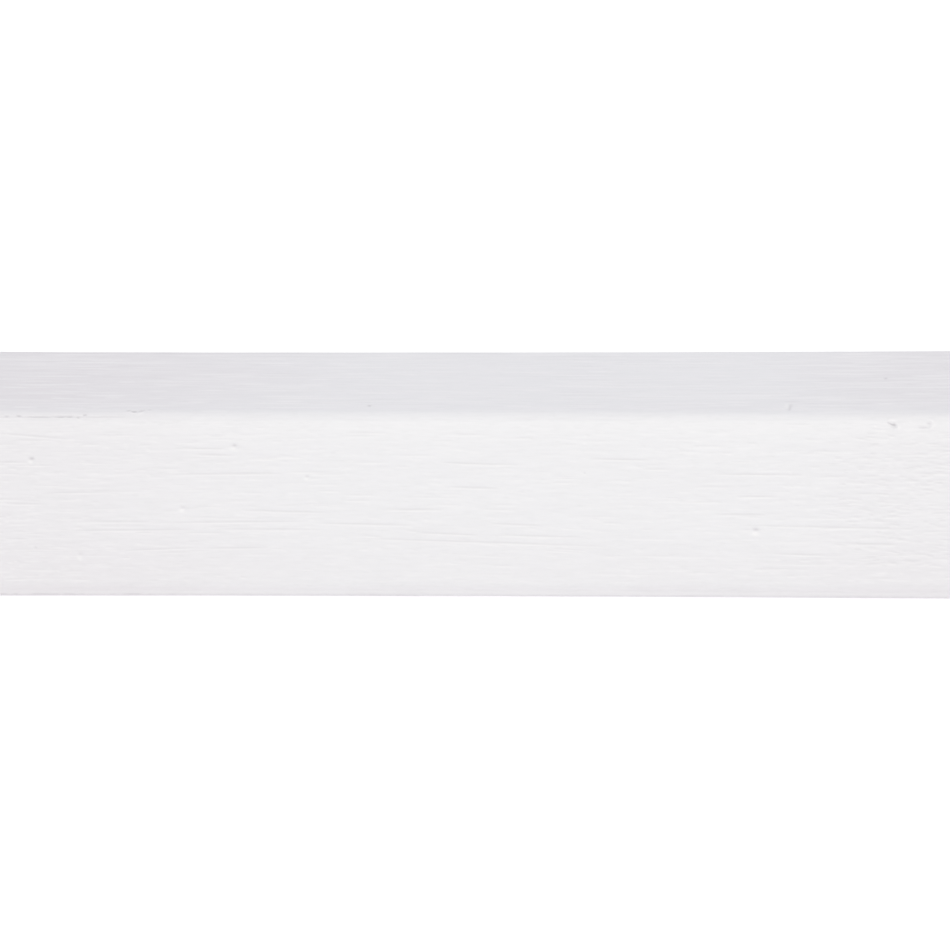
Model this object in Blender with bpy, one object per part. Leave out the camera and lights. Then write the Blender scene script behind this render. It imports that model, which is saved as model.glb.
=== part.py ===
"""A cut length of timber glazing bead: a plain strip with a sloping top edge that sheds water.

X runs along the bead, -Y is the front that faces out of the window, +Y is the back that bears on the
glass, and +Z is up. The origin is the middle of the underside. Run it with
blender --background --python part.py, or from Blender's text editor.
"""

import math

import bpy
from mathutils import Vector

# Driving sizes, in metres
BEAD_LENGTH = 0.098
BEAD_DEPTH = 0.014  # front to glass
BACK_HEIGHT = 0.024  # where the slope would meet the glass, with a sharp arris
FRONT_HEIGHT = 0.0176  # where the slope would meet the front, with a sharp arris
SLOPE_ARRIS_RADIUS = 0.0014  # rounding between the slope and the front
BOTTOM_ARRIS_RADIUS = 0.0013  # rounding between the front and the underside
GLASS_ARRIS_RADIUS = 0.0003  # sanding of the top edge against the glass
HEEL_ARRIS_RADIUS = 0.0005  # sanding of the bottom edge against the glass

FACET_ANGLE = math.radians(6)  # turn from one facet of a rounded arris to the next

# Finish
PRIMER_COLOUR = (0.87, 0.86, 0.87, 1.0)
PRIMER_ROUGHNESS = 0.55


def clear_scene():
    """Removes whatever the file was opened with."""
    for obj in list(bpy.data.objects):
        bpy.data.objects.remove(obj)


def primed_timber():
    """White primer on planed timber."""
    material = bpy.data.materials.new("primed_timber")
    material.use_nodes = True
    shader = material.node_tree.nodes["Principled BSDF"]
    shader.inputs["Base Color"].default_value = PRIMER_COLOUR
    shader.inputs["Roughness"].default_value = PRIMER_ROUGHNESS
    shader.inputs["Metallic"].default_value = 0.0
    return material


def section_corners():
    """The four sharp corners of the section with their radii, anticlockwise from the front's foot."""
    front = -BEAD_DEPTH / 2
    glass = BEAD_DEPTH / 2
    return (
        (Vector((front, 0.0)), BOTTOM_ARRIS_RADIUS),
        (Vector((glass, 0.0)), HEEL_ARRIS_RADIUS),
        (Vector((glass, BACK_HEIGHT)), GLASS_ARRIS_RADIUS),
        (Vector((front, FRONT_HEIGHT)), SLOPE_ARRIS_RADIUS),
    )


def rounded_arris(before, corner, after, radius):
    """The points of the arc of that radius that touches both edges at a corner."""
    to_before = (before - corner).normalized()
    to_after = (after - corner).normalized()
    half_angle = to_before.angle(to_after) / 2
    centre = corner + (to_before + to_after).normalized() * (radius / math.sin(half_angle))
    start = corner + to_before * (radius / math.tan(half_angle)) - centre
    turn = math.pi - 2 * half_angle
    steps = max(2, math.ceil(turn / FACET_ANGLE))
    points = []
    for step in range(steps + 1):
        angle = turn * step / steps
        cosine, sine = math.cos(angle), math.sin(angle)
        points.append(
            centre
            + Vector((start.x * cosine - start.y * sine, start.x * sine + start.y * cosine))
        )
    return points


def section_outline():
    """The whole section: every corner turned into its rounded arris."""
    corners = section_corners()
    outline = []
    for index, (corner, radius) in enumerate(corners):
        before = corners[index - 1][0]
        after = corners[(index + 1) % len(corners)][0]
        outline += rounded_arris(before, corner, after, radius)
    return outline


def make_bead(collection):
    """The section drawn as a flat curve and extruded along X, with its ends cut square."""
    curve = bpy.data.curves.new("glazing_bead", "CURVE")
    curve.dimensions = "2D"
    curve.fill_mode = "BOTH"
    curve.extrude = BEAD_LENGTH / 2
    outline = section_outline()
    spline = curve.splines.new("POLY")
    spline.points.add(len(outline) - 1)
    for point, place in zip(spline.points, outline):
        point.co = (place.x, place.y, 0.0, 1.0)
    spline.use_cyclic_u = True
    bead = bpy.data.objects.new("glazing_bead", curve)
    bead.rotation_euler = (math.pi / 2, 0.0, math.pi / 2)
    curve.materials.append(primed_timber())
    collection.objects.link(bead)
    return bead


def main():
    clear_scene()
    collection = bpy.data.collections.new("glazing_bead")
    bpy.context.scene.collection.children.link(collection)
    make_bead(collection)


main()
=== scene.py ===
from math import atan2, cos, pi, radians, sin, tan

import bpy
import numpy as np
from mathutils import Matrix, Vector


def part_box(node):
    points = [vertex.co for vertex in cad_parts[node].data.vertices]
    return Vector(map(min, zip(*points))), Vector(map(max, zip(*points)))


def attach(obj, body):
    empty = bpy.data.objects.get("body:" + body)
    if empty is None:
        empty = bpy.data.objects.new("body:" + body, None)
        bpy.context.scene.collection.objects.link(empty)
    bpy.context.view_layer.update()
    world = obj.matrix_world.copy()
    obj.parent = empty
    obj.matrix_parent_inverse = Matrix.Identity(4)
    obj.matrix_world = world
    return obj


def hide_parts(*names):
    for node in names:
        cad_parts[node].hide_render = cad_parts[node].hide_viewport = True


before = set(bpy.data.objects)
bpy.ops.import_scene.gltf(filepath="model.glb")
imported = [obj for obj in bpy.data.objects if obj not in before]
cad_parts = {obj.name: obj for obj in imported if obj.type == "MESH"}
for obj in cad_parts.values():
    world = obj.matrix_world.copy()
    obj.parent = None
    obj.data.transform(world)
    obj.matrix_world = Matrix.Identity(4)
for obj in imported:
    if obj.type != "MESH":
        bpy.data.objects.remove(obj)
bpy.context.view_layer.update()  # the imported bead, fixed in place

mm = 0.001
beadLow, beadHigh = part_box("glazing_bead")

# camera: half a metre off, level with the middle of the bead, turned a little to the left

cameraLook = {
    "place": (47.1 * mm, -504.8 * mm, 11.7 * mm),
    "turn": radians(5.4),
    "roll": radians(0.067),
    "lens": 198.8,
}


def makeCamera(look):
    # level camera: looks along +Y, then turns about Z and rolls about its own line of sight
    lens = bpy.data.cameras.new("camera")
    lens.lens = look["lens"]
    lens.clip_start, lens.clip_end = 0.01, 20
    camera = bpy.data.objects.new("camera", lens)
    stand = Matrix.Rotation(look["turn"], 4, "Z") @ Matrix.Rotation(pi / 2, 4, "X")
    camera.matrix_world = Matrix.Translation(look["place"]) @ stand @ Matrix.Rotation(look["roll"], 4, "Z")
    bpy.context.scene.collection.objects.link(camera)
    bpy.context.scene.camera = camera
    print("camera stands", round(-look["place"][1] / mm), "mm in front")


makeCamera(cameraLook)

# the bead: one closed skin, rows round the section and columns along the length, all sizes in mm

bead = {
    "frontHeight": 17.6,  # sharp height of the front
    "backHeight": 24.0,  # sharp height against the glass
    "radii": {"foot": 1.3, "heel": 0.5, "glass": 0.3, "arris": 1.4},
    "arcRows": {"foot": 16, "heel": 4, "glass": 7, "arris": 17},
    "edgeRows": {"underside": 6, "back": 12, "slope": 72, "front": 152},
    "columns": 330,
    "rightLower": 0.09,  # how much lower the slope meets the arris towards the right end
    "lowerAlong": (5, 35),  # where along the bead that eases in
    "lowerOver": (0.35, 0.85),  # how far over the arris it eases out
    "footFlat": 0.185,  # how far sanding has flattened the foot's round
    "endRadius": 0.15,  # sanding of the two cut edges
    "endColumns": 5,
    "endRings": (0.985, 0.9, 0.7, 0.4),  # rings that close an end, as shares of its outline
    "endMiddle": (0.0, 9.6),  # where they shrink to, across and up
    "topHollow": 0.14,  # the slope is planed slightly hollow along the length
    "hollowEase": 3,  # how far up the slope that eases in
    "footHollow": 0.10,  # the underside is hollow along the length too
    "footHollowTall": 6,  # how far up the bead that eases out
    "planerWaves": [(38, 9, 0.4), (23, 6, 2.2), (14, 11, 4.0)],  # length, width, start
    "waveDepth": 0.018,
    "lipHighlight": 38,  # how strong the painted highlight on the lower lip of a groove is, for each mm of its depth
}
# how close the columns stand on plain grain, and how much closer over curly grain, the crack and small marks
columnDensity = {"plain": 2.1, "curl": 1.6, "crack": 1.4, "mark": 5.5, "markReach": 0.45}
halfLength = (beadHigh.x - beadLow.x) / 2 / mm
halfDepth = (beadHigh.y - beadLow.y) / 2 / mm

# pits in the front: along the bead, height, radius, depth, painted shade in the upper half, painted highlight
# in the lower half
frontPits = [
    (-42.75, 13.1, 0.27, 0.08, 1.0, 0.8),
    (-23.1, 14.37, 0.27, 0.07, 0.7, 1.0),
    (-28.1, 8.45, 0.26, 0.05, 0.4, 1.0),
    (-37.97, 3.92, 0.32, 0.04, 0.25, 0.5),
    (-16.07, 11.45, 0.22, 0.05, 0.45, 0.8),
    (26.8, 6.4, 0.32, 0.07, 0.75, 1.0),
    (10.5, 11.85, 0.12, 0.05, 0.6, 0.2),
    (-42.35, 4.6, 0.15, 0.05, 0.5, 0.2),
]
# pits in the slope: the same, with the distance up the slope in place of the height
slopePits = [
    (-10.3, 1.95, 0.22, 0.07, 1.0, 0.0),
    (38.95, 8.45, 0.2, 0.07, 1.0, 0.0),
]
# gouge under the arris; a groove beside a mark is how far right of it and below it, length, half width,
# depth, lean and painted shade, and a lifted fibre is how far right and below, half length and half height
gouge = {
    "x": 39.85, "z": 16.42, "radius": 0.19, "depth": 0.18,
    "tail": (-0.25, -0.12, 0.8, 0.13, 0.09, 0.42, 0.8),
    "line": (-1.3, 0.36, 1.3, 0.12, 0.02, 0.0, 0.0),
    "fibreLift": 0.045,
    "fibres": [
        (-0.15, -0.55, 0.36, 0.17), (0.5, 0.22, 0.08, 0.28), (0.85, 0.18, 0.07, 0.22),
        (-1.75, 0.08, 0.3, 0.12), (-1.1, 0.2, 0.5, 0.07), (-0.8, -0.15, 0.45, 0.06),
    ],
}
# hooked fibre; its dark spot is how far right and below, radius, depth and painted shade
hook = {
    "x": 43.1, "z": 16.55, "radius": 0.5, "halfWidth": 0.12, "height": 0.05, "bright": 0.6,
    "spot": (0.05, 0.05, 0.18, 0.06, 0.55),
    "line": (-0.45, 0.33, 1.0, 0.13, 0.05, 0.0, 0.45),
}
# nick across the slope; its burr is how far right and up, half length, half height and lift, and its line is
# a groove with how far up in place of how far below
nick = {
    "x": 29.84, "up": 1.7, "right": 0.13, "lean": 0.1, "long": 0.13, "tall": 0.9, "depth": 0.09, "dark": 0.5,
    "burr": (-0.2, 0.2, 0.15, 0.7, 0.04),
    "line": (0.3, 1.35, 1.6, 0.24, 0.03, 0.0, 0.35),
}
# crack along the arris, with the places where it comes clear, gets weaker and ends, and its share of strength
# before it is clear and once it is weaker
crack = {
    "from": -49.0, "to": -34.2, "z": 17.29, "halfWidth": 0.12, "depth": 0.12,
    "lengths": (0.8, 2.4), "overlap": 1.3, "strengths": (0.45, 0.75), "wander": 0.03, "lean": 0.01,
    "clear": (-44.5, -43.0), "faint": 0.4, "weaker": (-39.5, -38.0), "weak": 0.6, "end": (-35.5, -34.0),
}
# the foot's torn edge, by the distance round the section, and a painted highlight just above it
foot = {
    "place": 1.64, "halfWidth": 0.15, "dark": 0.15, "evenDark": 0.7, "torn": 0.4, "tornSpread": 0.7,
    "leftMore": 1.5, "leftEase": (-32, -24), "chipDepth": 0.06, "chipsOver": 0.8,
}
footHighlight = {"place": 1.28, "halfWidth": 0.22, "bright": 0.2}
# the sanded arris, by the distance down from the slope's end: a crisp ridge, then a dip that fades down
# the front
sanded = {
    "ridge": 0.016, "ridgeAt": 0.48, "ridgeHalf": 0.14,
    "dip": 0.129, "dipFrom": 0.52, "dipTo": 1.32, "dipHeld": 1.59, "fade": 1.26,
}
# painted shade lines along the slope's top edge: down the slope, half width, how dark, where they end at the
# right
topEdgeShade = [(0.12, 0.28, 0.22, 3.0), (1.0, 0.15, 0.18, 18.0)]
topEdgeShadeEase = 3  # how far along a shade line fades, to each side of its end
# curly grain: short torn fibres in an oval, cut off below, above and along a left edge with a bend in it
curl = {
    "x": 41.0, "z": 9.0, "halfLong": 8.0, "halfTall": 7.6, "low": 3.2, "high": 15.8,
    "leftEdge": 33.5, "edgeLean": 0.45, "bendZ": 8.0, "endGap": 0.4, "swirl": 0.07, "stray": 0.06,
    "count": 420, "lengths": (0.4, 1.8), "halfWidths": (0.1, 0.17), "depths": (0.003, 0.0175), "shadePerDepth": 16,
}
# short open strokes near the left end, and how far they reach from it
leftStrokes = {
    "count": 90, "reach": 26.0, "endGap": 1.0, "low": 3.0, "high": 15.8,
    "lengths": (0.5, 2.6), "halfWidths": (0.1, 0.15), "depths": (0.006, 0.016), "shadePerDepth": 12,
}

# torn flecks on the crack and just past its end: along the bead, height, length, half width, lean, strength
# of their painted shade
flecks = [
    (-45.25, 17.36, 0.5, 0.12, 0.0, 0.8), (-44.05, 17.4, 0.55, 0.13, 0.1, 0.85),
    (-40.0, 17.33, 0.9, 0.13, 0.0, 0.8), (-39.1, 17.33, 0.7, 0.13, 0.0, 0.75),
    (-38.3, 17.25, 0.3, 0.16, 0.3, 0.6), (-37.64, 17.5, 0.4, 0.14, -0.2, 0.8),
    (-33.42, 18.11, 0.4, 0.22, -0.4, 0.7), (-32.9, 17.95, 0.6, 0.22, 0.1, 1.0),
    (-32.2, 18.05, 0.75, 0.3, -0.4, 0.55), (-31.45, 18.24, 0.45, 0.2, -0.2, 0.5),
]
# a fibre lifted beside each: how far right and below, half length, half height, lift, painted highlight on it
fleckFibre = (0.12, 0.28, 0.2, 0.07, 0.02, 0.5)

# pores cut into the mesh, in kinds for each face: how many in a square mm, and their least and most
# length, half width and depth, with the painted shade in the deepest
pores = {
    "front": [
        (1.9, (0.35, 2.1), (0.11, 0.18), (0.003, 0.0125), 0.0),
        (0.24, (0.8, 4.5), (0.10, 0.15), (0.008, 0.018), 0.2),
        (0.07, (3.0, 9.0), (0.10, 0.14), (0.008, 0.014), 0.1),
    ],
    "slope": [
        (0.5, (2.0, 12.0), (0.24, 0.45), (0.006, 0.0235), 0.0),
        (0.06, (3.0, 10.0), (0.20, 0.30), (0.010, 0.020), 0.15),
    ],
}
# the heights that the front's pores keep between, and the share of pores round the middle of the length,
# which rises to all of them towards both ends
poreSpread = {"low": 0.9, "high": 16.9, "x": -4, "share": 0.75, "ease": (18, 40)}
# how the fibres drop: a slow wander, and more in the low middle of the front
grain = {
    "wander": 0.014, "wanderLong": 11, "wanderStart": 1.1,
    "drop": 0.073, "dropX": -1, "dropZ": 5.7, "dropHalfLong": 15, "dropHalfTall": 2.2,
}
# the longest open lines in the front: along the bead, height, length, lean
frontLines = [
    (-44.5, 12.9, 3, 0.0), (-43.5, 8.9, 4, 0.0), (-42.5, 15.4, 7, 0.08), (-38.0, 10.0, 7, -0.01),
    (-35.0, 7.2, 8, 0.0), (-33.0, 6.4, 12, -0.01), (-30.0, 4.6, 7, -0.04), (-26.5, 14.2, 5, 0.0),
    (-25.0, 13.6, 4, 0.02), (-24.0, 11.8, 11, -0.01), (-23.0, 4.7, 6, -0.01), (-23.0, 7.2, 14, -0.01),
    (-20.0, 6.5, 10, 0.0), (-18.0, 8.2, 8, 0.02), (-10.5, 7.0, 10, 0.02), (-6.0, 8.4, 6, 0.0),
    (-2.5, 6.1, 6, 0.04), (-0.5, 12.8, 6, 0.04), (0.0, 10.5, 5, 0.03), (1.0, 5.3, 24, 0.03),
    (4.0, 7.0, 5, 0.04), (6.0, 5.9, 9, 0.02), (14.0, 13.2, 6, 0.02), (25.5, 8.0, 5, 0.0),
    (27.0, 11.8, 9, 0.0), (27.0, 9.7, 4, 0.0), (31.0, 4.2, 5, 0.02), (33.5, 6.8, 15, 0.02),
    (37.5, 5.2, 5, 0.0),
]
# the same in the slope, with the distance up it in place of the height
slopeLines = [
    (-43.5, 12.6, 6, 0.0), (-41.0, 11.7, 8, -0.03), (-41.5, 7.4, 8, -0.05), (-38.5, 13.0, 6, 0.0),
    (-36.5, 1.9, 3, 0.0), (-24.0, 13.0, 7, 0.0), (-20.0, 9.3, 9, -0.03), (-10.5, 3.5, 8, -0.06),
    (-5.0, 13.5, 5, 0.0), (9.5, 9.7, 6, 0.0), (10.0, 11.6, 4, 0.0), (34.0, 2.6, 9, 0.0),
    (35.5, 13.0, 6, 0.0), (36.0, 7.8, 8, 0.0), (40.5, 13.1, 3, 0.0),
]
openLine = {"depth": 0.017, "halfWidth": 0.13, "dark": 0.35, "slopeHalfWidth": 0.28, "slopeDark": 0.1}
# where the coat is thin and the timber warms it: the left end most, then the right end, and the slope more
# than the front; the foot's share is painted shade near the floor
thinCoat = {
    "left": (-44, -10), "right": (24, 44), "rightShare": 0.6, "footShadeShare": 0.5,
    "footTall": (2.0, 8.0), "footDeep": (-6.5, -4.5), "patchy": 0.1, "frontShare": 0.44, "slopeMore": 0.56,
}


def smooth(value, low, high):
    # eases from 0 at low to 1 at high
    t = np.clip((value - low) / (high - low), 0, 1)
    return t * t * (3 - 2 * t)


def fade(value, low, high):
    # eases from 1 at low to 0 at high
    return smooth(-value, -high, -low)


def sectionProfile(size):
    # four corners joined by straight runs, anticlockwise from the front's foot; each corner is the arc
    # centre + radius * (cos a, sin a) that touches both its runs, so a is the outward direction too
    arcs, edges = ("foot", "heel", "glass", "arris"), ("underside", "back", "slope", "front")
    corners = np.array([(-halfDepth, 0.0), (halfDepth, 0.0), (halfDepth, size["backHeight"]),
                        (-halfDepth, size["frontHeight"])])
    runs = np.roll(corners, -1, axis=0) - corners
    full = np.hypot(runs[:, 0], runs[:, 1])
    runs = runs / full[:, None]
    facing = np.arctan2(-runs[:, 0], runs[:, 1])
    turns = (facing - np.roll(facing, 1)) % (2 * pi)
    radii = np.array([size["radii"][arc] for arc in arcs])
    cut = radii * np.tan(turns / 2)
    points, marks, travelled = [], {}, 0.0
    for i, (arc, edge) in enumerate(zip(arcs, edges)):
        before = facing[i - 1]
        centre = corners[i] - runs[i - 1] * cut[i] - radii[i] * np.array([cos(before), sin(before)])
        turned = turns[i] * np.linspace(0, 1, size["arcRows"][arc])
        out = np.stack([np.cos(before + turned), np.sin(before + turned)], 1)
        points.append(np.column_stack([centre + radii[i] * out, out, travelled + radii[i] * turned]))
        marks[arc] = (travelled, travelled + radii[i] * turns[i])
        travelled = marks[arc][1]
        straight = full[i] - cut[i] - cut[(i + 1) % 4]
        went = np.linspace(0, straight, size["edgeRows"][edge] + 2)[1:-1]
        run = corners[i] + runs[i] * (cut[i] + went)[:, None]
        out = np.tile([runs[i, 1], -runs[i, 0]], (len(went), 1))
        points.append(np.column_stack([run, out, travelled + went]))
        marks[edge] = (travelled, travelled + straight)
        travelled = marks[edge][1]
    return np.vstack(points), marks


profile, stretch = sectionProfile(bead)
sectionY, sectionZ, outY, outZ, around = profile.T
slopeTilt = atan2(bead["backHeight"] - bead["frontHeight"], 2 * halfDepth)


def frontPlace(z):
    # distance round the section of a height on the front, which runs downwards
    return stretch["front"][1] - (z - bead["radii"]["foot"])


def slopePlace(up):
    # distance round the section of a distance up the slope from the front's sharp corner
    return stretch["slope"][1] - (up - bead["radii"]["arris"] * tan((pi / 2 - slopeTilt) / 2))


def columnPlaces(count):
    # spacing is one over a density: even, denser over curly and torn grain and closest at each small mark
    fine = np.linspace(-halfLength, halfLength, 12001)
    more = columnDensity
    density = more["plain"] + more["curl"] * np.exp(-(((fine - curl["x"]) / curl["halfLong"]) ** 6))
    density += more["crack"] * smooth(crack["to"] - fine, 0, 1)
    for x in [mark[0] for mark in frontPits + slopePits + flecks] + [gouge["x"], hook["x"], nick["x"]]:
        density += more["mark"] * np.exp(-(((fine - x) / more["markReach"]) ** 4))
    share = np.concatenate([[0], np.cumsum((density[1:] + density[:-1]) / 2)])
    inner = np.interp(np.linspace(0, 1, count), share / share[-1], fine)
    inner = inner[np.abs(inner) < halfLength - 2 * bead["endRadius"]]
    turned = np.linspace(0, pi / 2, bead["endColumns"])
    edge = halfLength - bead["endRadius"] * (1 - np.sin(turned))
    return np.concatenate([-edge[::-1], inner, edge])


along = columnPlaces(bead["columns"])
roundAt, alongAt = np.meshgrid(around, along, indexing="ij")
height = np.zeros_like(roundAt)  # relief along the outward direction
paintedShade = np.zeros_like(roundAt)  # painted shade, laid in hollows, grooves and along edges
paintedHighlight = np.zeros_like(roundAt)  # painted highlight: brighter white on lower lips, in pits, on lifted fibres and on the foot
chance = np.random.default_rng(71)


def noiseTable(pitchAcross, pitchAlong, seed):
    # random heights on a table, read between its entries with smooth steps
    rng = np.random.default_rng(seed)
    u, v = roundAt / pitchAcross + 1, (alongAt + halfLength) / pitchAlong + 1
    table = rng.standard_normal((int(u.max()) + 2, int(v.max()) + 2))
    i, j = u.astype(int), v.astype(int)
    fu, fv = smooth(u - i, 0, 1), smooth(v - j, 0, 1)
    near = table[i, j] * (1 - fv) + table[i, j + 1] * fv
    far = table[i + 1, j] * (1 - fv) + table[i + 1, j + 1] * fv
    return near * (1 - fu) + far * fu


def patchAt(x, place, halfLong, halfTall):
    # the rows and columns near a mark, and how far their points are along and below it
    rows = slice(*np.searchsorted(around, (place - halfTall, place + halfTall)))
    columns = slice(*np.searchsorted(along, (x - halfLong, x + halfLong)))
    return (rows, columns), alongAt[rows, columns] - x, roundAt[rows, columns] - place


def grainTilt(x, place):
    # drop for each mm along: wander * sin(x) + drop * exp(-(along / half length)^4 - (down / half height)^2)
    wander = grain["wander"] * sin(x / grain["wanderLong"] + grain["wanderStart"])
    dx = (x - grain["dropX"]) / grain["dropHalfLong"]
    dy = (place - frontPlace(grain["dropZ"])) / grain["dropHalfTall"]
    return wander + grain["drop"] * np.exp(-(dx**4) - dy**2)


def carveDash(x, place, length, halfWidth, depth, tilt, dark):
    # a groove depth * (1 - (offset / halfWidth)^2)^2 that tapers towards both ends, with painted shade in it;
    # a painted highlight lies on its lower lip as exp(-((offset / halfWidth - 1.1) / 0.45)^2)
    patch, dx, dy = patchAt(x, place, length / 2, 2.2 * halfWidth + abs(tilt) * length / 2)
    taper = np.clip(1 - (2 * dx / length) ** 2, 0, 1) ** 0.7
    offset = (dy - tilt * dx) / halfWidth
    groove = np.clip(1 - offset**2, 0, 1) ** 2 * taper
    height[patch] -= depth * groove
    paintedShade[patch] = np.maximum(paintedShade[patch], dark * groove)
    lip = min(max(dark, bead["lipHighlight"] * depth), 1)
    paintedHighlight[patch] = np.maximum(paintedHighlight[patch], lip * np.exp(-(((offset - 1.1) / 0.45) ** 2)) * taper)


def carveBeside(x, place, groove):
    # a groove that is placed by how far right of a mark and below it
    right, down, *size = groove
    carveDash(x + right, place + down, *size)


def carvePit(x, place, radius, depth, dark, bright):
    # a round hollow exp(-r^2) in a low rim, r counted in radii; a painted shade cap under its upper edge and
    # a painted highlight in its lower half, each exp(-(sideways / half width)^2 - (down / half height)^2)
    patch, dx, dy = patchAt(x, place, 3 * radius, 3 * radius)
    dx, dy = dx / radius, dy / radius
    r = np.hypot(dx, dy)
    height[patch] += depth * (0.2 * np.exp(-(((r - 1.6) / 0.4) ** 2)) - np.exp(-(r**2)))
    cap = np.exp(-((dx / 0.8) ** 2) - ((dy + 0.5) / 0.45) ** 2)
    paintedShade[patch] = np.maximum(paintedShade[patch], dark * cap)
    lower = np.exp(-((dx + 0.15) ** 2) - ((dy - 0.65) / 0.75) ** 2)
    paintedHighlight[patch] = np.maximum(paintedHighlight[patch], bright * lower)


def raiseFleck(x, place, halfLong, halfTall, lift, bright):
    # lifted fibre: a mound exp(-(dx / halfLong)^2 - (dy / halfTall)^2), painted brighter as a painted
    # highlight
    patch, dx, dy = patchAt(x, place, 3 * halfLong, 3 * halfTall)
    mound = np.exp(-((dx / halfLong) ** 2) - (dy / halfTall) ** 2)
    height[patch] += lift * mound
    paintedHighlight[patch] = np.maximum(paintedHighlight[patch], bright * mound)


# long unevenness left by the planer: slow waves sin(along) * cos(across), which only take wood away
for waveLong, waveWide, phase in bead["planerWaves"]:
    wave = np.sin(2 * pi * alongAt / waveLong + phase) * np.cos(2 * pi * roundAt / waveWide + phase)
    height += bead["waveDepth"] / len(bead["planerWaves"]) * (wave - 1)

# pores, more of them towards both ends of the bead
poreReach = {
    "front": (frontPlace(poreSpread["high"]), frontPlace(poreSpread["low"])),
    "slope": stretch["slope"],
}
for face, (low, high) in poreReach.items():
    for perArea, lengths, halfWidths, depths, dark in pores[face]:
        for _ in range(int((high - low) * 2 * halfLength * perArea)):
            x, place = chance.uniform(-halfLength, halfLength), chance.uniform(low, high)
            share, size, kept = chance.random(), chance.random(), chance.random()
            length = lengths[0] + (lengths[1] - lengths[0]) * size**2
            depth = depths[0] + (depths[1] - depths[0]) * share**2
            towardsEnd = smooth(abs(x - poreSpread["x"]), *poreSpread["ease"])
            if kept < poreSpread["share"] + (1 - poreSpread["share"]) * towardsEnd:
                halfWidth = chance.uniform(*halfWidths)
                carveDash(x, place, length, halfWidth, depth, grainTilt(x, place), dark * share)

# curly grain near the right end: short torn fibres that lean a little both ways
for _ in range(curl["count"]):
    a, r = chance.uniform(0, 2 * pi), chance.random() ** 0.5
    x, z = curl["x"] + curl["halfLong"] * r * cos(a), curl["z"] + curl["halfTall"] * r * sin(a)
    lean = curl["swirl"] * sin(1.7 * x + 2.3 * z) + chance.normal(0, curl["stray"])
    length, halfWidth = chance.uniform(*curl["lengths"]), chance.uniform(*curl["halfWidths"])
    depth = chance.uniform(*curl["depths"])
    leftEdge = curl["leftEdge"] + curl["edgeLean"] * abs(z - curl["bendZ"])
    if curl["low"] < z < curl["high"] and leftEdge < x < halfLength - curl["endGap"]:
        # painted shade in each torn fibre's groove, by its depth
        carveDash(x, frontPlace(z), length, halfWidth, depth, lean, curl["shadePerDepth"] * depth)

# long open lines and pits, with painted shade in them
for x, z, length, lean in frontLines:
    carveDash(x, frontPlace(z), length, openLine["halfWidth"], openLine["depth"], lean, openLine["dark"])
for x, up, length, lean in slopeLines:
    carveDash(x, slopePlace(up), length, openLine["slopeHalfWidth"], openLine["depth"], lean,
              openLine["slopeDark"])
for x, z, radius, depth, dark, bright in frontPits:
    carvePit(x, frontPlace(z), radius, depth, dark, bright)
for x, up, radius, depth, dark, bright in slopePits:
    carvePit(x, slopePlace(up), radius, depth, dark, bright)

# gouge under the arris: a deep end, a tail that comes down to it from the left, and lifted fibres
gougePlace = frontPlace(gouge["z"])
carveBeside(gouge["x"], gougePlace, gouge["tail"])
carvePit(gouge["x"], gougePlace, gouge["radius"], gouge["depth"], 1.0, 0.0)
for right, down, halfLong, halfTall in gouge["fibres"]:
    raiseFleck(gouge["x"] + right, gougePlace + down, halfLong, halfTall, gouge["fibreLift"], 1.0)
carveBeside(gouge["x"], gougePlace, gouge["line"])

# hook: the right half of a lifted ring exp(-((r - radius) / half width)^2) with a painted highlight, round a
# painted-shade spot and over a line
hookPlace = frontPlace(hook["z"])
patch, dx, dy = patchAt(hook["x"], hookPlace, 2 * hook["radius"], 2 * hook["radius"])
ring = np.exp(-(((np.hypot(dx, dy) - hook["radius"]) / hook["halfWidth"]) ** 2)) * smooth(dx, -0.1, 0.3)
height[patch] += hook["height"] * ring
paintedHighlight[patch] = np.maximum(paintedHighlight[patch], hook["bright"] * ring)
right, down, *spot = hook["spot"]
carvePit(hook["x"] + right, hookPlace + down, *spot, 0.0)
carveBeside(hook["x"], hookPlace, hook["line"])

# nick across the slope just above the arris: a leaning hollow exp(-(dy / tall)^4 - (dx / long)^2) with
# painted shade in it, a burr on its left and a torn line at its top
patch, dx, dy = patchAt(nick["x"], slopePlace(nick["up"]), 1.2, 2.0)
sideways = dx - nick["right"] + nick["lean"] * dy
hollow = np.exp(-((dy / nick["tall"]) ** 4) - (sideways / nick["long"]) ** 2)
height[patch] -= nick["depth"] * hollow
paintedShade[patch] = np.maximum(paintedShade[patch], nick["dark"] * hollow)
right, up, *size = nick["burr"]
raiseFleck(nick["x"] + right, slopePlace(nick["up"] + up), *size, 1.0)
right, up, *size = nick["line"]
carveDash(nick["x"] + right, slopePlace(nick["up"] + up), *size)

# crack along the arris at the left end, in lengths that overlap, with painted shade in it: faint at first and
# fading out at its end
cursor = crack["from"]
while cursor < crack["to"]:
    length, wander = chance.uniform(*crack["lengths"]), chance.normal(0, crack["wander"])
    strength = chance.uniform(*crack["strengths"])
    strength *= crack["faint"] + (1 - crack["faint"]) * smooth(cursor, *crack["clear"])
    weaker = crack["weak"] + (1 - crack["weak"]) * fade(cursor, *crack["weaker"])
    strength *= fade(cursor, *crack["end"]) * weaker
    middle, place = cursor + length / 2, frontPlace(crack["z"] + wander)
    carveDash(middle, place, crack["overlap"] * length, crack["halfWidth"], crack["depth"] * strength,
              chance.normal(0, crack["lean"]), strength)
    cursor += length
right, down, *size = fleckFibre
for x, z, length, halfWidth, lean, strength in flecks:
    carveDash(x, frontPlace(z), length, halfWidth, crack["depth"] * strength, lean, strength)
    raiseFleck(x + right, frontPlace(z - down), *size)

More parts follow.
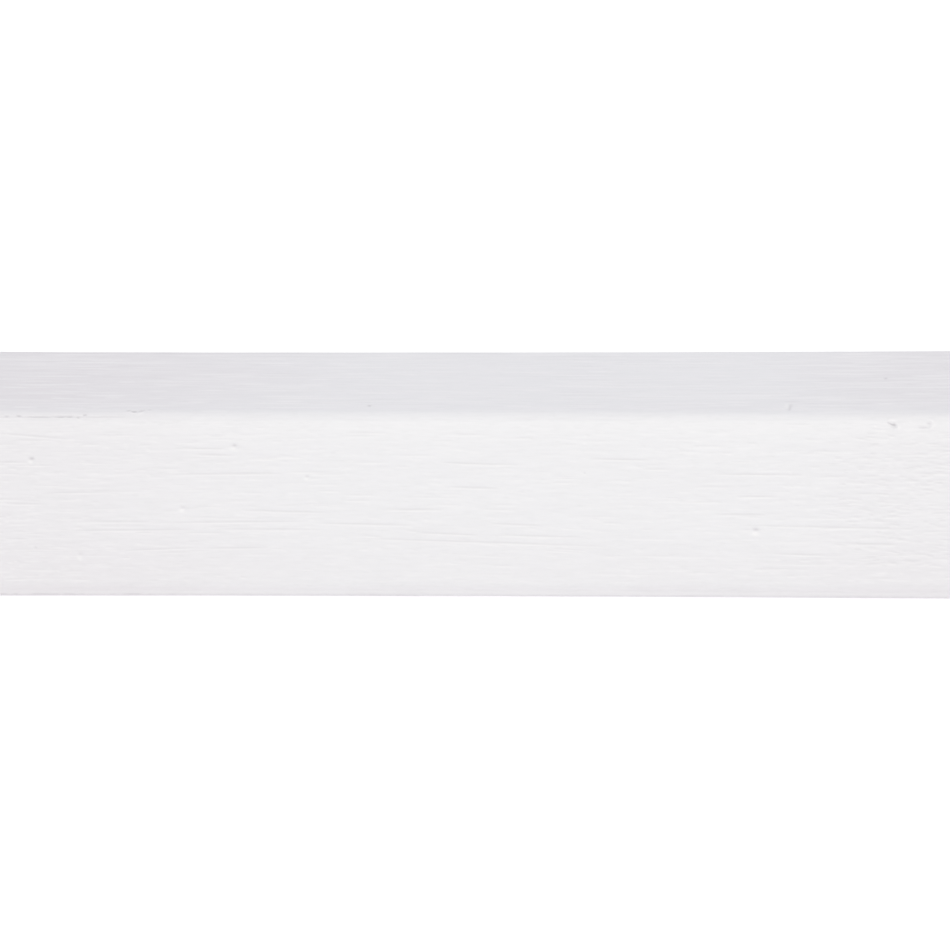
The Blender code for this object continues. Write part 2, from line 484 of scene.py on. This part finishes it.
# short strokes, close together at the left end and fewer towards the middle
for _ in range(leftStrokes["count"]):
    x = leftStrokes["reach"] * chance.random() ** 1.5 - halfLength + leftStrokes["endGap"]
    place = frontPlace(chance.uniform(leftStrokes["low"], leftStrokes["high"]))
    length, halfWidth = chance.uniform(*leftStrokes["lengths"]), chance.uniform(*leftStrokes["halfWidths"])
    depth = chance.uniform(*leftStrokes["depths"])
    # painted shade in each stroke, by its depth
    carveDash(x, place, length, halfWidth, depth, grainTilt(x, place), leftStrokes["shadePerDepth"] * depth)

# sanding: on the arris a ridge exp(-((s - ridgeAt) / ridgeHalf)^2) and a dip that eases in, is held and fades
overArris = roundAt - stretch["arris"][0]
height += sanded["ridge"] * np.exp(-(((overArris - sanded["ridgeAt"]) / sanded["ridgeHalf"]) ** 2))
fading = np.exp(-np.clip(overArris - sanded["dipHeld"], 0, None) / sanded["fade"])
height -= sanded["dip"] * smooth(overArris, sanded["dipFrom"], sanded["dipTo"]) * fading

# the slope is lower at the right and hollow along the length, and the foot's round is flattened
upSlope = smooth(overArris, -2.0 * halfDepth, 0) * fade(overArris, *bead["lowerOver"])
height -= bead["rightLower"] * upSlope * smooth(alongAt, *bead["lowerAlong"])
height -= bead["footFlat"] * np.sin(pi * np.clip(roundAt / stretch["foot"][1], 0, 1)) ** 2
bow = 1 - (alongAt / halfLength) ** 2
topSide = smooth(roundAt, *stretch["glass"])
topSide = topSide * fade(roundAt, stretch["slope"][1] - bead["hollowEase"], stretch["arris"][1])
height -= bead["topHollow"] * bow * topSide

# the foot's lower edge is torn: a broken line of painted shade under the round, with chips where it is
# darkest
nearFoot = np.exp(-(((roundAt - foot["place"]) / foot["halfWidth"]) ** 2))
torn = np.clip(foot["torn"] + foot["tornSpread"] * noiseTable(1.2, 0.5, 9), 0, 1)
torn = torn * (1 + foot["leftMore"] * fade(alongAt, *foot["leftEase"]))
paintedShade = np.maximum(paintedShade, np.clip(foot["dark"] * (foot["evenDark"] + torn) * nearFoot, 0, 1))
height -= foot["chipDepth"] * np.clip(torn - foot["chipsOver"], 0, 1) * nearFoot
# painted highlight: a band of light on the foot's round just above the torn edge
aboveFoot = np.exp(-(((roundAt - footHighlight["place"]) / footHighlight["halfWidth"]) ** 2))
paintedHighlight = np.maximum(paintedHighlight, footHighlight["bright"] * aboveFoot)

# painted shade lines: dark * exp(-(distance from the line / halfWidth)^2), uneven along the length
for down, halfWidth, dark, end in topEdgeShade:
    line = np.exp(-(((roundAt - stretch["slope"][0] - down) / halfWidth) ** 2))
    uneven = np.clip(0.8 + 0.4 * noiseTable(8.0, 2.5, 15), 0, 1.6)
    paintedShade = np.maximum(paintedShade, dark * line * uneven * fade(alongAt, end - topEdgeShadeEase, end + topEdgeShadeEase))

# the cut edges are rounded: the skin sinks by radius - sqrt(radius^2 - (radius - distance to the end)^2)
fromCurve = np.clip(bead["endRadius"] - (halfLength - np.abs(alongAt)), 0, bead["endRadius"])
height -= bead["endRadius"] - np.sqrt(bead["endRadius"] ** 2 - fromCurve**2)

# the underside keeps little of the relief and nothing stands out of it, so that the bead rests on it
onUnderside = (roundAt > stretch["underside"][0]) & (roundAt < stretch["underside"][1])
height = np.where(onUnderside & (fromCurve == 0), np.minimum(height, 0) * 0.3, height)

# the thin coat: the left end, a share of the right end and a share of painted shade at the foot, made patchy
# and then less on the front
lowFront = fade(sectionZ, *thinCoat["footTall"]) * fade(sectionY, *thinCoat["footDeep"])
thin = fade(alongAt, *thinCoat["left"]) + thinCoat["rightShare"] * smooth(alongAt, *thinCoat["right"])
thin = thin + thinCoat["footShadeShare"] * lowFront[:, None] + thinCoat["patchy"] * noiseTable(4.0, 14.0, 12)
thin = np.clip(thin * (thinCoat["frontShare"] + thinCoat["slopeMore"] * topSide), 0, 1)
print("relief runs from", round(float(height.min()), 3), "to", round(float(height.max()), 3), "mm")


def skinMesh(name):
    # rows carried along X: point = section + outward * height, joined row to row round the section;
    # each end is closed by rings that shrink towards its middle and a fan
    y = sectionY[:, None] + outY[:, None] * height
    z = sectionZ[:, None] + outZ[:, None] * height
    z = z + bead["footHollow"] * bow * fade(z, 0, bead["footHollowTall"])
    rows, columns = roundAt.shape
    r, c = np.meshgrid(np.arange(rows), np.arange(columns - 1), indexing="ij")
    up = (r + 1) % rows
    skin = [r * columns + c, up * columns + c, up * columns + c + 1, r * columns + c + 1]
    points = [np.stack([alongAt, y, z], 2).reshape(-1, 3)]
    quads, fans = [np.stack(skin, 2).reshape(-1, 4)], []
    middle, total = np.array(bead["endMiddle"]), rows * columns
    for side, column in ((-1, 0), (1, columns - 1)):
        rim = np.stack([y[:, column], z[:, column]], 1)
        last = np.arange(rows) * columns + column
        for share in bead["endRings"]:
            here = total + np.arange(rows)
            ring = middle + (rim - middle) * share
            points.append(np.column_stack([np.full(rows, side * halfLength), ring]))
            quads.append(np.stack([last, np.roll(last, -1), np.roll(here, -1), here], 1)[:, ::side])
            last, total = here, total + rows
        points.append(np.array([[side * halfLength, *middle]]))
        fans.append(np.stack([last, np.roll(last, -1), np.full(rows, total)], 1)[:, ::side])
        total += 1
    quads, fans = np.vstack(quads), np.vstack(fans)
    mesh = bpy.data.meshes.new(name)
    mesh.vertices.add(total)
    mesh.vertices.foreach_set("co", (np.vstack(points) * mm).astype(np.float32).ravel())
    corners = np.concatenate([quads.ravel(), fans.ravel()]).astype(np.int32)
    counts = np.repeat([4, 3], [len(quads), len(fans)])
    mesh.loops.add(len(corners))
    mesh.loops.foreach_set("vertex_index", corners)
    mesh.polygons.add(len(counts))
    mesh.polygons.foreach_set("loop_start", (np.cumsum(counts) - counts).astype(np.int32))
    mesh.update(calc_edges=True)
    mesh.shade_smooth()
    # each layer for the material: its values on the skin, and its one value on the closed ends
    layers = {"paintedShade": (paintedShade, 0.0), "paintedHighlight": (paintedHighlight, 0.0), "thin": (thin, 0.3), "cut": (0 * thin, 1.0)}
    for layer, (values, atEnds) in layers.items():
        everywhere = np.full(total, atEnds, np.float32)
        everywhere[:values.size] = values.ravel()
        mesh.attributes.new(layer, "FLOAT", "POINT").data.foreach_set("value", everywhere)
    print(name, "has", 2 * len(quads) + len(fans), "triangles")
    return mesh


primedBead = bpy.data.objects.new("primed_bead", skinMesh("primed_bead"))
bpy.context.scene.collection.objects.link(primedBead)

# primer: white, with the timber's pores and fibres showing through it, painted shade in its marks and painted
# highlight on their lips

primer = {
    "white": (0.920, 0.929, 0.932),
    "blush": (0.876, 0.862, 0.872),  # thin coat over the timber
    # painted highlight: the near-white laid on lips, pits and lifted fibres
    "paintedHighlight": (0.99, 0.99, 0.985),
    "hollow": (0.69, 0.678, 0.695),  # painted shade: the grey that the deepest marks are painted
    "roughness": 0.3,
    "roughnessSpread": 0.006,
    "toneSpread": 0.014,
    "streakSize": (3.5, 0.3),  # mm along and across the grain
    "streakNoise": (0.3, 0.7),  # the noise's usual range
    "poreSize": (1.2, 0.24),  # fine pores, along and across
    "poreNoise": (0.52, 0.8),  # they are where their noise is this high
    # fine pores are painted this much darker, a painted shade
    "poreShade": 0.975,
    "bumpDepth": 0.01,  # mm
    "poreDepth": 0.45,  # fine pores, as a share of the bump
    "sawDepth": 0.5,  # ridges on the cut ends, as a share of the bump
    "sawBands": {"Scale": 0.4, "Distortion": 1.5, "Detail": 2.0},
}


class Nodes:
    # shorthand for adding a node with its settings and inputs
    def __init__(self, material):
        material.use_nodes = True
        self.tree = material.node_tree
        self.shader = self.tree.nodes["Principled BSDF"]

    def add(self, kind, inputs=(), **settings):
        node = self.tree.nodes.new(kind)
        for name, value in settings.items():
            setattr(node, name, value)
        for socket, value in dict(inputs).items():
            if isinstance(value, bpy.types.NodeSocket):
                self.tree.links.new(value, node.inputs[socket])
            else:
                node.inputs[socket].default_value = value
        return node

    def maths(self, operation, a, b=0.0):
        return self.add("ShaderNodeMath", {0: a, 1: b}, operation=operation).outputs[0]

    def remap(self, value, low, high, toLow=0.0, toHigh=1.0):
        inputs = {"Value": value, "From Min": low, "From Max": high, "To Min": toLow, "To Max": toHigh}
        return self.add("ShaderNodeMapRange", inputs).outputs[0]

    def blend(self, share, a, b, kind="MIX"):
        inputs = {0: share, 6: a, 7: b}
        return self.add("ShaderNodeMix", inputs, data_type="RGBA", blend_type=kind).outputs[2]

    def layer(self, name):
        return self.add("ShaderNodeAttribute", attribute_name=name).outputs["Fac"]


def primerMaterial(look):
    material = bpy.data.materials.new("white_primer")
    n = Nodes(material)
    place = n.add("ShaderNodeTexCoord").outputs["Object"]

    def stretched(long, wide):
        # the place counted in cells, each that long along the grain and that wide across it
        scale = (1 / (long * mm), 1 / (wide * mm), 1 / (wide * mm))
        return n.add("ShaderNodeMapping", {"Vector": place, "Scale": scale}).outputs[0]

    def noise(long, wide, detail):
        inputs = {"Vector": stretched(long, wide), "Scale": 1.0, "Detail": detail, "Roughness": 0.55}
        return n.add("ShaderNodeTexNoise", inputs).outputs["Fac"]

    streaks = noise(*look["streakSize"], 2)
    fine = n.remap(noise(*look["poreSize"], 1), *look["poreNoise"])
    tone = n.remap(streaks, *look["streakNoise"], 1 - look["toneSpread"], 1 + look["toneSpread"])
    # painted shade in the fine pores
    tone = n.maths("MULTIPLY", tone, n.remap(fine, 0.0, 1.0, 1.0, look["poreShade"]))
    colour = n.blend(n.layer("thin"), (*look["white"], 1), (*look["blush"], 1))
    colour = n.blend(1.0, colour, tone, "MULTIPLY")
    # painted highlight mixed in
    colour = n.blend(n.layer("paintedHighlight"), colour, (*look["paintedHighlight"], 1))
    # painted shade: the marks are mixed towards a grey
    colour = n.blend(n.layer("paintedShade"), colour, (*look["hollow"], 1))
    bands = {"Vector": stretched(1.0, 1.0), **look["sawBands"]}
    sawn = n.add("ShaderNodeTexWave", bands, bands_direction="Z").outputs["Fac"]
    ridges = n.maths("MULTIPLY", n.layer("cut"), n.maths("MULTIPLY", sawn, look["sawDepth"]))
    relief = n.maths("SUBTRACT", streaks, n.maths("MULTIPLY", fine, look["poreDepth"]))
    relief = n.maths("ADD", relief, ridges)
    bump = n.add("ShaderNodeBump", {"Strength": 1.0, "Distance": look["bumpDepth"] * mm, "Height": relief})
    spread = look["roughnessSpread"]
    rough = n.remap(streaks, *look["streakNoise"], look["roughness"] - spread, look["roughness"] + spread)
    n.tree.links.new(colour, n.shader.inputs["Base Color"])
    n.tree.links.new(rough, n.shader.inputs["Roughness"])
    n.tree.links.new(bump.outputs[0], n.shader.inputs["Normal"])
    return material


primedBead.data.materials.append(primerMaterial(primer))
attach(primedBead, "root")
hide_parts("glazing_bead")
print("bead primed")

# studio: pale floor, white surroundings, one wide soft light in front and a little above

studio = {
    "surroundings": 0.812,
    "surroundingsColour": (0.968, 0.955, 1.0),
    "seenWhite": 1.1,  # what the camera sees behind the bead
    "frontLight": 0.61,
    "frontColour": (1.0, 1.0, 0.82),
    "frontSize": (0.5, 0.12),
    "frontPlace": (0.03, -0.73, 0.15),
    "frontAim": (0, 0, 0.012),
    "floorWhite": 0.3,
    "floorRoughness": 0.9,
    "floorShine": 0.1,
    "floorGlow": 0.62,  # the floor is a lit white table, so that the foot of the bead isn't dark
    "floorColour": (1.0, 0.97, 1.0),
    "floorExposed": 0.2,  # further white that only the camera sees
    "floorReach": 4.0,
    "floorDrop": 0.02 * mm,
}


def makeSurroundings(look):
    scene = bpy.context.scene
    scene.view_settings.view_transform = "Standard"
    world = bpy.data.worlds.new("surroundings")
    scene.world = world
    world.use_nodes = True
    tree = world.node_tree
    lighting = tree.nodes["Background"]
    lighting.inputs["Color"].default_value = (*look["surroundingsColour"], 1)
    lighting.inputs["Strength"].default_value = look["surroundings"]
    white = tree.nodes.new("ShaderNodeBackground")
    white.inputs["Color"].default_value = (1, 1, 1, 1)
    white.inputs["Strength"].default_value = look["seenWhite"]
    seen = tree.nodes.new("ShaderNodeLightPath").outputs["Is Camera Ray"]
    mix = tree.nodes.new("ShaderNodeMixShader")
    tree.links.new(seen, mix.inputs[0])
    tree.links.new(lighting.outputs[0], mix.inputs[1])
    tree.links.new(white.outputs[0], mix.inputs[2])
    tree.links.new(mix.outputs[0], tree.nodes["World Output"].inputs["Surface"])


def makeFrontLight(look):
    light = bpy.data.lights.new("front_light", "AREA")
    light.shape = "RECTANGLE"
    light.size, light.size_y = look["frontSize"]
    light.energy = look["frontLight"]
    light.color = look["frontColour"]
    lamp = bpy.data.objects.new("front_light", light)
    lamp.location = look["frontPlace"]
    aim = Vector(look["frontAim"]) - lamp.location
    lamp.rotation_euler = aim.to_track_quat("-Z", "Y").to_euler()
    bpy.context.scene.collection.objects.link(lamp)


def makeFloor(look):
    reach, down = look["floorReach"], -look["floorDrop"]
    mesh = bpy.data.meshes.new("floor")
    corners = [(-reach, -reach, down), (reach, -reach, down), (reach, reach, down), (-reach, reach, down)]
    mesh.from_pydata(corners, [], [(0, 1, 2, 3)])
    floor = bpy.data.objects.new("floor", mesh)
    bpy.context.scene.collection.objects.link(floor)
    material = bpy.data.materials.new("pale_floor")
    n = Nodes(material)
    n.shader.inputs["Base Color"].default_value = (look["floorWhite"],) * 3 + (1,)
    n.shader.inputs["Roughness"].default_value = look["floorRoughness"]
    n.shader.inputs["Specular IOR Level"].default_value = look["floorShine"]
    n.shader.inputs["Emission Color"].default_value = (*look["floorColour"], 1)
    seen = n.add("ShaderNodeLightPath").outputs["Is Camera Ray"]
    glow = n.maths("ADD", n.maths("MULTIPLY", seen, look["floorExposed"]), look["floorGlow"])
    n.tree.links.new(glow, n.shader.inputs["Emission Strength"])
    mesh.materials.append(material)


makeSurroundings(studio)
makeFrontLight(studio)
makeFloor(studio)
print("studio lit")
